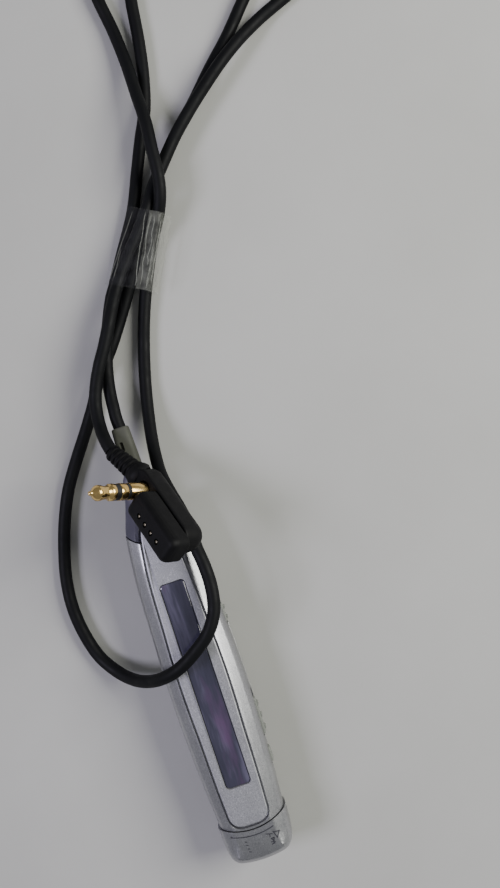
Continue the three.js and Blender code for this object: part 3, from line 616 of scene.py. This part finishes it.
cap = prism("control_cap_moulded", cap_line, cap_rings, [silver], STICK, squeeze=end_squeeze)
boolean(cap, tsphere((DOME_X + STX, STY, AXIS), DOME_R + 0.26))
boolean(cap, tbox(20 + STX, 37 + STX, -20, 20, -10, 30))
boolean(cap, tcyl((36 + STX, STY, AXIS), (45.6 + STX, STY, AXIS), 2.2))
gr = tsphere((DOME_X + STX, STY, AXIS), DOME_R + 1.42)
boolean(gr, tsphere((DOME_X + STX, STY, AXIS), DOME_R + 1.2))
boolean(gr, tbox(38, 48, -5.2 + STY, 4.2 + STY, 12.2, 14), "INTERSECT")
boolean(cap, gr, keep=True)
finish_piece(shade(cap), "end_control", "silver_case", "control_cap")
boolean(gr, tbox(38, 48, -5.4 + STY, 4.4 + STY, 12.42, 15))
gr.name = "cap_groove_shadow"

# generic play and skip marks, ink 0.02 mm thick, and a dark piece on the groove's floor that is a painted shadow
ink_and_groove_shade = plastic("mark_ink_and_groove_shade", lin(50, 50, 56), lin(66, 66, 72), (0.45, 0.6), 9000, 0.000004, 0.3, wear=False)
for p_ in gr.data.polygons:
    p_.use_smooth = False
gr.data.materials.clear()
# painted shadow: the groove's floor piece takes the dark ink colour
gr.data.materials.append(ink_and_groove_shade)
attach(gr, "end_control")
bm = bmesh.new()
cap_skin = BVHTree.FromPolygons([v.co / MM for v in cap.data.vertices], [list(p.vertices) for p in cap.data.polygons])


def cap_z(x, y):
    hit = cap_skin.ray_cast(Vector((x + STX, y + STY, 20)), Vector((0, 0, -1)))
    return hit[0].z if hit[0] else 12.4


def mark(poly):
    a = [bm.verts.new((x, y, cap_z(x, y) - 0.06)) for x, y in poly]
    b = [bm.verts.new((x, y, cap_z(x, y) + 0.03)) for x, y in poly]
    n = len(poly)
    for i in range(n):
        bm.faces.new((a[i], a[(i + 1) % n], b[(i + 1) % n], b[i]))
    bm.faces.new(a[::-1])
    bm.faces.new(b)


def stroke(x0, y0, x1, y1, w=0.12):
    d = Vector((x1 - x0, y1 - y0)).normalized()
    n = max(1, round(math.hypot(x1 - x0, y1 - y0) / 0.3))
    side_ = Vector((-d.y, d.x)) * w
    pts_ = [Vector((x0, y0)) - d * w + (Vector((x1 - x0, y1 - y0)) + d * 2 * w) * (k / n) for k in range(n + 1)]
    L_, R_, l_, r_ = [], [], [], []
    for p in pts_:
        for lst, q_, dz in ((L_, p + side_, 0.03), (R_, p - side_, 0.03), (l_, p + side_, -0.06), (r_, p - side_, -0.06)):
            lst.append(bm.verts.new((q_.x, q_.y, cap_z(q_.x, q_.y) + dz)))
    for k in range(n):
        bm.faces.new((L_[k], R_[k], R_[k + 1], L_[k + 1]))
        bm.faces.new((l_[k], l_[k + 1], r_[k + 1], r_[k]))
        bm.faces.new((L_[k], L_[k + 1], l_[k + 1], l_[k]))
        bm.faces.new((R_[k], r_[k], r_[k + 1], R_[k + 1]))
    bm.faces.new((L_[0], l_[0], r_[0], R_[0]))
    bm.faces.new((L_[n], R_[n], r_[n], l_[n]))


for a_, b_, c_ in (((42.75, 3.75), (43.1, 5.0), (44.2, 4.25)), ((44.0, 3.55), (44.05, 2.95), (44.65, 3.3))):
    for s_, e_ in ((a_, b_), (b_, c_), (c_, a_)):
        stroke(s_[0], s_[1], e_[0], e_[1])
stroke(42.85, 2.3, 43.1, 3.4, 0.1)
stroke(43.1, 2.85, 43.6, 2.8, 0.1)
stroke(44.75, 2.75, 45.0, 3.5)
stroke(45.15, 3.3, 45.25, 2.8)
for x, y in ((43.0, -2.55), (43.8, -2.5), (44.6, -2.4), (45.3, -2.3)):
    stroke(x, y, x + 0.12, y + 0.3, 0.08)
bm.transform(STICK)
bm.transform(Matrix.Scale(MM, 4))
marks = obj_from_bm("cap_marks", bm, [ink_and_groove_shade], False)
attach(marks, "end_control")

# --- nose, boot
nose_line = chaikin([(-38.9, -3.3), (-34.5, -4.1), (-32, -4.75), (-29, -5.7), (-26, -6.7), (-18, -8.0), (-18, 8.0), (-26, 6.9), (-29, 6.6), (-31.4, 6.2), (-31.7, 1.9), (-38.9, 1.7)], 2)
nose_line = resample(nose_line, 0.5)
nose = prism("end_nose", nose_line, [(3.2, 2.2), (3.3, 1.5), (3.7, 0.8), (4.6, 0.25), (5.8, 0), (8.2, 0), (9.6, 0.28), (10.6, 0.8), (11.5, 1.5), (12.1, 2.1), (12.3, 2.4)], [nose_painted_shade_m], STICK)
keep = tcyl((NOSE_X + STX, STY, -10), (NOSE_X + STX, STY, 30), NOSE_R, 128)
boolean(keep, tbox(-60, NOSE_X + STX, -20, 20, -9, 29), "UNION")
boolean(nose, keep, "INTERSECT")
boolean(nose, prism("tool", recess_line, [(11.4, 0), (14.4, 0)], (), STICK))
boolean(nose, tcyl((-41, -0.8 + STY, 6.0), (-36.5, -0.8 + STY, 6.0), 2.3))
boolean(nose, tcyl((-36 + STX, 3.8 + STY, 6.6), (-26 + STX, 3.8 + STY, 6.6), 2.4))
boolean(nose, tbox(-29.8 + STX, -20, 1.1 + STY, 6.5 + STY, 4.2, 9.0))
soften(nose, 0.16, 4, 0.35)
finish_piece(nose, "case", "violet_grey_plastic", "end_housing")


def tube_loft(name, rows, mats, place=None, n=64, angle=40):
    """rows: (x, half_y, half_z, squareness), a closed body along local X."""
    bm = bmesh.new()
    loops = []
    for x, hy, hz, e in rows:
        loop = []
        for i in range(n):
            a = 2 * math.pi * i / n
            c, s = math.cos(a), math.sin(a)
            loop.append(bm.verts.new((x, hy * abs(c) ** (2 / e) * (1 if c >= 0 else -1), hz * abs(s) ** (2 / e) * (1 if s >= 0 else -1))))
        loops.append(loop)
    for a, b in zip(loops, loops[1:]):
        for i in range(n):
            bm.faces.new((a[i], a[(i + 1) % n], b[(i + 1) % n], b[i]))
    bm.faces.new(loops[0][::-1])
    bm.faces.new(loops[-1])
    bm.transform(place or Matrix.Identity(4))
    bm.transform(Matrix.Scale(MM, 4))
    o = obj_from_bm(name, bm, mats)
    o.data.set_sharp_from_angle(angle=math.radians(angle))
    return o


boot = tube_loft("cord_boot_moulded", [(-48.45, 1.45, 1.45, 4), (-48.4, 1.7, 1.7, 4), (-48.15, 1.86, 1.86, 4), (-46, 1.95, 1.95, 4), (-43, 2.04, 2.04, 4), (-40, 2.12, 2.12, 3.4), (-38.9, 2.12, 2.12, 2.6), (-38.7, 1.9, 1.9, 2),
                                        (-36.9, 1.9, 1.9, 2), (-36.8, 2.6, 2.6, 2), (-35.8, 2.6, 2.6, 2)], [boot_m], Matrix.Translation((STX, -0.8 + STY, 6.0)))
for x in (-46.6, -44.2):
    for y, z in ((-0.55, 1), (0, -1)):
        t = tube_loft("tool", [(-1.05, 0.2, 0.6, 3), (-0.9, 0.42, 0.75, 3), (0.9, 0.42, 0.75, 3), (1.05, 0.2, 0.6, 3)], (), Matrix.Translation((x + STX, y - 0.8 + STY, 6.0 + z * 1.95)), 24)
        if x < -46 and z > 0:
            hide_tool(t)
        else:
            boolean(boot, t)
finish_piece(shade(boot, 30), "case", "boot_rubber", "cord_boot")

# --- plug
PA = Vector((0.815, 0.302, 0.495)).normalized()
PP = Vector((-0.213, -0.637, 0.74))
PP = (PP - PA * PP.dot(PA)).normalized()
PW = PP.cross(PA).normalized()
PO = Vector((-36.56, 1.57, 14.1))
PLUG = Matrix(((PA.x, PW.x, PP.x, PO.x), (PA.y, PW.y, PP.y, PO.y), (PA.z, PW.z, PP.z, PO.z), (0, 0, 0, 1)))
house = prism("plug_body", dense(rrect(-1.8, 19.2, 3.3, 3.0), 0.5), [(-3.0, 1.7), (-2.95, 1.3), (-2.75, 0.9), (-2.35, 0.5), (-1.7, 0.18), (-1, 0.03), (-0.3, 0), (1.9, 0), (2.2, 0.06), (2.35, 0.18), (2.4, 0.4)],
              [plug_m], PLUG, False)
boolean(house, tbox(6.2, 15.6, -2.6, 2.6, 0.9, 4, PLUG))
boolean(house, tcyl((3, 0, 0.8), (3, 0, 4), 2.0, 64, None, PLUG))
soften(house, 0.13, 5, 0.45)
finish_piece(house, "case", "plug_black", "plug_housing")
head = [Vector((p.x, p.y - 0.1)) for p in dense(rrect(5.1, 20.4, 3.15, 1.7), 0.5)]
tong = prism("plug_contact_block", head, [(2.62, 0.2), (2.7, 0.06), (2.85, 0), (5.4, 0.02), (6.1, 0.14), (6.6, 0.38), (6.95, 0.7), (7.13, 1.05), (7.2, 1.5)], [plug_m], PLUG, False)
boolean(tong, tbox(6.5, 15.3, -2.3, 2.3, 1.2, 3.0, PLUG), "UNION")
for k, x in enumerate((9.3, 11.6, 13.9, 16.2)):
    boolean(tong, tcyl((x, -0.6, 4.6), (x, -0.6, 9), 0.55, 32, None, PLUG))
    pin = lathe("plug_contact_pad_%d" % (k + 1), [(0, 4.9), (0.33, 4.9), (0.33, 6.95), (0.27, 7.08), (0.14, 7.14), (0, 7.15)], [contact_m], PLUG @ Matrix.Translation((x, -0.6, 0)), 24)
    finish_piece(pin, "case", "gold_plate", "plug_contact_%d" % (k + 1))
soften(tong, 0.11, 3, 0.45)
finish_piece(tong, "case", "plug_black", "plug_tongue")
PIN = PLUG @ Matrix.Translation((3.0, 0, 0))
for nm, prof, mt, sl in (
        ("sleeve", [(0, 1.1), (1.75, 1.1), (1.75, 6.45), (1.7, 6.55), (0, 6.55)], gold_m, "gold_plate"),
        ("insulator_rear", [(0, 6.56), (1.66, 6.56), (1.66, 7.39), (0, 7.39)], black_m, "black_plastic"),
        ("ring", [(0, 7.4), (1.7, 7.4), (1.75, 7.5), (1.75, 9.0), (1.7, 9.1), (0, 9.1)], gold_m, "gold_plate"),
        ("insulator_front", [(0, 9.11), (1.66, 9.11), (1.66, 10.29), (0, 10.29)], black_m, "black_plastic"),
        ("tip", [(0, 10.3), (1.7, 10.3), (1.75, 10.4), (1.75, 11.2), (1.62, 11.4), (1.44, 11.7), (1.34, 12.1), (1.34, 12.6), (1.44, 13.0), (1.56, 13.5), (1.6, 14.0), (1.52, 14.4), (1.25, 14.8), (0.9, 15.15), (0.6, 15.4), (0.48, 15.7), (0.4, 16.05), (0.2, 16.18), (0, 16.2)], gold_m, "gold_plate")):
    o = lathe("pin_" + nm, prof, [mt], PIN, 64, 45)
    finish_piece(o, "case", sl, "plug_" + nm)

# relief: a ribbed taper between the cord and the housing
ra, rb = Vector((-44.5, -3.65, 11.05)), Vector((-37.2, 1.2, 13.75))
L = (rb - ra).length
rq = Matrix.Translation(ra) @ (rb - ra).to_track_quat("Z", "Y").to_matrix().to_4x4()
prof = [(0, 0), (1.45, 0), (1.62, 0.12)]
z = 0.3
while z < L - 2.6:
    base = 1.66 + 0.75 * (z / L) ** 1.2
    prof += [(base, z), (base + 0.16, z + 0.14), (base + 0.18, z + 0.62), (base + 0.02, z + 0.76), (base - 0.14, z + 0.86), (base - 0.14, z + 1.06)]
    z += 1.2
prof += [(2.35, L - 2.4), (2.75, L - 1.6), (2.95, L - 0.8), (2.6, L), (0, L)]
relief = lathe("plug_relief_ribbed", prof, [plug_m], rq, 56, 50)
finish_piece(relief, "case", "plug_black", "plug_relief")

# --- keys and clip
def block(name, x0, x1, y0, y1, z0, z1, r, rim, mats, place):
    return prism(name, [Vector((p.x, p.y + (y0 + y1) / 2)) for p in dense(rrect(x0, x1, (y1 - y0) / 2, r, 6), 0.5)],
                 [(z0, rim), (z0 + rim * 0.3, rim * 0.3), (z0 + rim, 0), (z1 - rim, 0), (z1 - rim * 0.3, rim * 0.3), (z1, rim)], mats, place, False)


def key(name, body, node, face, flange, ribs):
    o = block(name, face[0], face[1], face[2], face[3], 6.3, 8.5, 0.5, 0.22, [key_m], STICK)
    boolean(o, tbox(flange[0] + STX, flange[1] + STX, flange[2] + STY, flange[3] + STY, 5.7, 9.1), "UNION")
    for x, y, r in ribs:
        boolean(o, tcyl((x + STX, y + STY, 6.5), (x + STX, y + STY, 8.3), r, 32), "UNION")
    finish_piece(shade(o), body, "key_grey", node)


key("display_key_cap", "display_key", "display_key", (-5.6, -1.4, 5.9, 8.35), (-6.6, -0.4, 5.5, 6.1), [(-4.6, 8.3, 0.4), (-2.4, 8.3, 0.4)])
key("mode_key_cap", "mode_key", "mode_key", (26.9, 30.1, 5.7, 8.35), (26.1, 30.9, 5.3, 5.9), [])
key("hold_slider_cap", "hold_slider", "hold_slider", (16.0, 24.0, 5.9, 8.65), (13.0, 25.6, 5.6, 6.2), [(x, 8.5, 0.5) for x in (17.4, 20.0, 22.6)])

clip = prism("back_clip_moulded", dense(rrect(-12, 28, 3.7, 2.0), 0.6), [(0.0, 0.5), (0.06, 0.22), (0.25, 0.04), (0.45, 0), (0.8, 0), (1.0, 0.06), (1.15, 0.22), (1.2, 0.5)], [silver], STICK, False)
boolean(clip, block("tool", -11.6, -9.8, -3.0, 3.0, 1.0, 2.6, 0.5, 0.3, (), STICK), "UNION")
boolean(clip, tcyl((20 + STX, -2.9 + STY, 1.8), (20 + STX, 2.9 + STY, 1.8), 0.95, 32), "UNION")
boolean(clip, tbox(19.3 + STX, 20.7 + STX, -2.9 + STY, 2.9 + STY, 0.9, 1.7), "UNION")
boolean(clip, tcyl((20 + STX, -6, 1.8), (20 + STX, 6, 1.8), 0.65, 32))
for y0, y1 in ((2.95, 6), (-6, -2.95)):
    boolean(clip, tbox(18.6 + STX, 21.4 + STX, y0 + STY, y1 + STY, -1, 4))
boolean(clip, tbox(18.8 + STX, 21.2 + STX, -1.1 + STY, 1.1 + STY, 0.8, 4))
for x in (-9.0, -7.6, -6.2):
    boolean(clip, tcyl((x + STX, -2.6 + STY, -0.02), (x + STX, 2.6 + STY, -0.02), 0.22, 24))
finish_piece(shade(clip), "back_clip", "silver_case", "back_clip")

# --- clear tape: a film wound round the hank, wrinkled, with a short crumpled tail on the +Y side
def hsh(i, j=0):
    v = math.sin(i * 127.1 + j * 311.7) * 43758.5453
    return v - math.floor(v)


def vnoise(x, y):
    xi, yi = math.floor(x), math.floor(y)
    fx, fy = x - xi, y - yi
    fx, fy = fx * fx * (3 - 2 * fx), fy * fy * (3 - 2 * fy)
    return ((hsh(xi, yi) * (1 - fx) + hsh(xi + 1, yi) * fx) * (1 - fy) + (hsh(xi, yi + 1) * (1 - fx) + hsh(xi + 1, yi + 1) * fx) * fy) * 2 - 1


t0, t1 = Vector((-92.6, 18.7, 0)), Vector((-77.4, 10.4, 0))
td = (t1 - t0).normalized()
tn = Vector((-td.y, td.x, 0))
TLEN, TW, TH = 17.3, 5.6, 6.9
outline_t = []
base = rrect(-TW + 0.15, TW - 0.15, TH / 2 - 0.15, 2.3, 12)
base = resample(base, 0.28)
NV = 72
bm = bmesh.new()
loops_o, loops_i = [], []
for j in range(NV + 1):
    v = j / NV
    lo, li = [], []
    for i, p in enumerate(base):
        nrm = Vector((p.x / TW, p.y / (TH / 2))).normalized()
        on_top = p.y > 0
        wr = 0.05 * vnoise(i * 0.3, v * 1.3)
        if p.x > 0.5 and on_top:
            wr += 0.12 * vnoise(p.x * 2.2 + 11, v * 1.1)
        edge = 0.10 * math.exp(-min(v, 1 - v) * 18) * vnoise(i * 0.5, 3)
        q = p + nrm * (wr + edge - 0.08)
        w = q - nrm * 0.07
        s = v * TLEN + (0.16 * vnoise(i * 0.35, 9) if j in (0, NV) else 0)
        for lst, c in ((lo, q), (li, w)):
            pos = t0 + td * s + tn * c.x + Vector((0, 0, max(0.02, c.y + TH / 2)))
            lst.append(bm.verts.new(pos * MM))
    loops_o.append(lo)
    loops_i.append(li)
n = len(base)
for j in range(NV):
    for i in range(n):
        k = (i + 1) % n
        bm.faces.new((loops_o[j][i], loops_o[j][k], loops_o[j + 1][k], loops_o[j + 1][i]))
        bm.faces.new((loops_i[j][i], loops_i[j + 1][i], loops_i[j + 1][k], loops_i[j][k]))
for i in range(n):
    k = (i + 1) % n
    bm.faces.new((loops_o[0][i], loops_i[0][i], loops_i[0][k], loops_o[0][k]))
    bm.faces.new((loops_o[NV][i], loops_o[NV][k], loops_i[NV][k], loops_i[NV][i]))
tape = obj_from_bm("tape_film", bm, [film_sheen_m])
finish_piece(tape, "case", "clear_film", "cord_tape")
def film_top(c):
    """Height of the film over the hank at the cross position c."""
    a = abs(c)
    r = 2.3
    flat = TW - 0.15 - r
    return TH / 2 + (TH / 2 - 0.15 if a < flat else TH / 2 - 0.15 - r + math.sqrt(max(0.0, r * r - (a - flat) ** 2)))


bm = bmesh.new()
top_v, bot_v = [], []
NU = 14
for j in range(NV + 1):
    v = j / NV
    ra_, rb_ = [], []
    wide = 1.5 + 0.55 * vnoise(v * 9, 2) + 0.3 * vnoise(v * 26, 5)
    for i in range(NU + 1):
        u = i / NU
        c = 1.7 + (TW - 1.6 + 0.45 * wide) * u * 0.98
        h = (film_top(c) + 0.16 if c < 4.6 else 5.6 - 1.1 * (c - 4.6)) + 0.10 * vnoise(v * 13 + 3, u * 2.5)
        pos = t0 + td * (v * TLEN + 0.15 * u * vnoise(v * 7, 4)) + tn * c + Vector((0, 0, h))
        ra_.append(bm.verts.new(pos * MM))
        rb_.append(bm.verts.new((pos - Vector((0, 0, 0.12))) * MM))
    top_v.append(ra_)
    bot_v.append(rb_)
for j in range(NV):
    for i in range(NU):
        bm.faces.new((top_v[j][i], top_v[j][i + 1], top_v[j + 1][i + 1], top_v[j + 1][i]))
        bm.faces.new((bot_v[j][i], bot_v[j + 1][i], bot_v[j + 1][i + 1], bot_v[j][i + 1]))
    bm.faces.new((top_v[j][0], top_v[j + 1][0], bot_v[j + 1][0], bot_v[j][0]))
    bm.faces.new((top_v[j][NU], bot_v[j][NU], bot_v[j + 1][NU], top_v[j + 1][NU]))
for i in range(NU):
    bm.faces.new((top_v[0][i], bot_v[0][i], bot_v[0][i + 1], top_v[0][i + 1]))
    bm.faces.new((top_v[NV][i], top_v[NV][i + 1], bot_v[NV][i + 1], bot_v[NV][i]))
tail = obj_from_bm("tape_tail", bm, [tail_sheen_m])
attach(tail, "case")


bm = bmesh.new()


def crease(points, w0, w1):
    """A folded ridge of film along points (v along the hank, c across it)."""
    rows = []
    n = len(points)
    for k, (v, c) in enumerate(points):
        w = (w0 + (w1 - w0) * k / (n - 1)) * (0.35 if k in (0, n - 1) else 1)
        pos = t0 + td * (v * TLEN)
        rows.append([bm.verts.new((pos + tn * (c + dx) + Vector((0, 0, film_top(c + dx) + dz))) * MM) for dx, dz in ((-w, 0.0), (0, 0.10), (w, 0.0), (0, -0.04))])
    for a, b in zip(rows, rows[1:]):
        for i in range(4):
            j = (i + 1) % 4
            bm.faces.new((a[i], a[j], b[j], b[i]))
    bm.faces.new(rows[0][::-1])
    bm.faces.new(rows[-1])


def run(v0, c0, v1, c1, wob=0.1, seed=1, n=16):
    return [(v0 + (v1 - v0) * k / n, c0 + (c1 - c0) * k / n + wob * vnoise(k * 0.55, seed)) for k in range(n + 1)]


crease(run(0.06, -1.9, 0.93, -4.2, 0.05, 3), 0.05, 0.06)
crease(run(0.55, -2.9, 0.9, -3.35, 0.04, 4), 0.04, 0.05)
crease(run(0.03, 0.9, 0.97, 1.5, 0.16, 5), 0.08, 0.12)
crease(run(0.03, 1.9, 0.95, 2.5, 0.18, 6), 0.13, 0.11)
crease(run(0.06, 3.0, 0.70, 3.2, 0.22, 7), 0.12, 0.10)
crease(run(0.35, 3.7, 0.98, 3.9, 0.18, 8), 0.08, 0.12)
crease(run(0.10, 4.5, 0.90, 4.7, 0.14, 9), 0.12, 0.14)
for v in (0.004, 0.996):
    crease([(v + 0.004 * vnoise(k * 0.9, 12), -TW + 0.5 + (2 * TW - 1.0) * k / 24) for k in range(25)], 0.07, 0.07)
# painted highlight: the fold ridges and the end edges are drawn in the light crease colour
crease_highlights = obj_from_bm("tape_crease_highlights", bm, [crease_highlight_m])
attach(crease_highlights, "case")
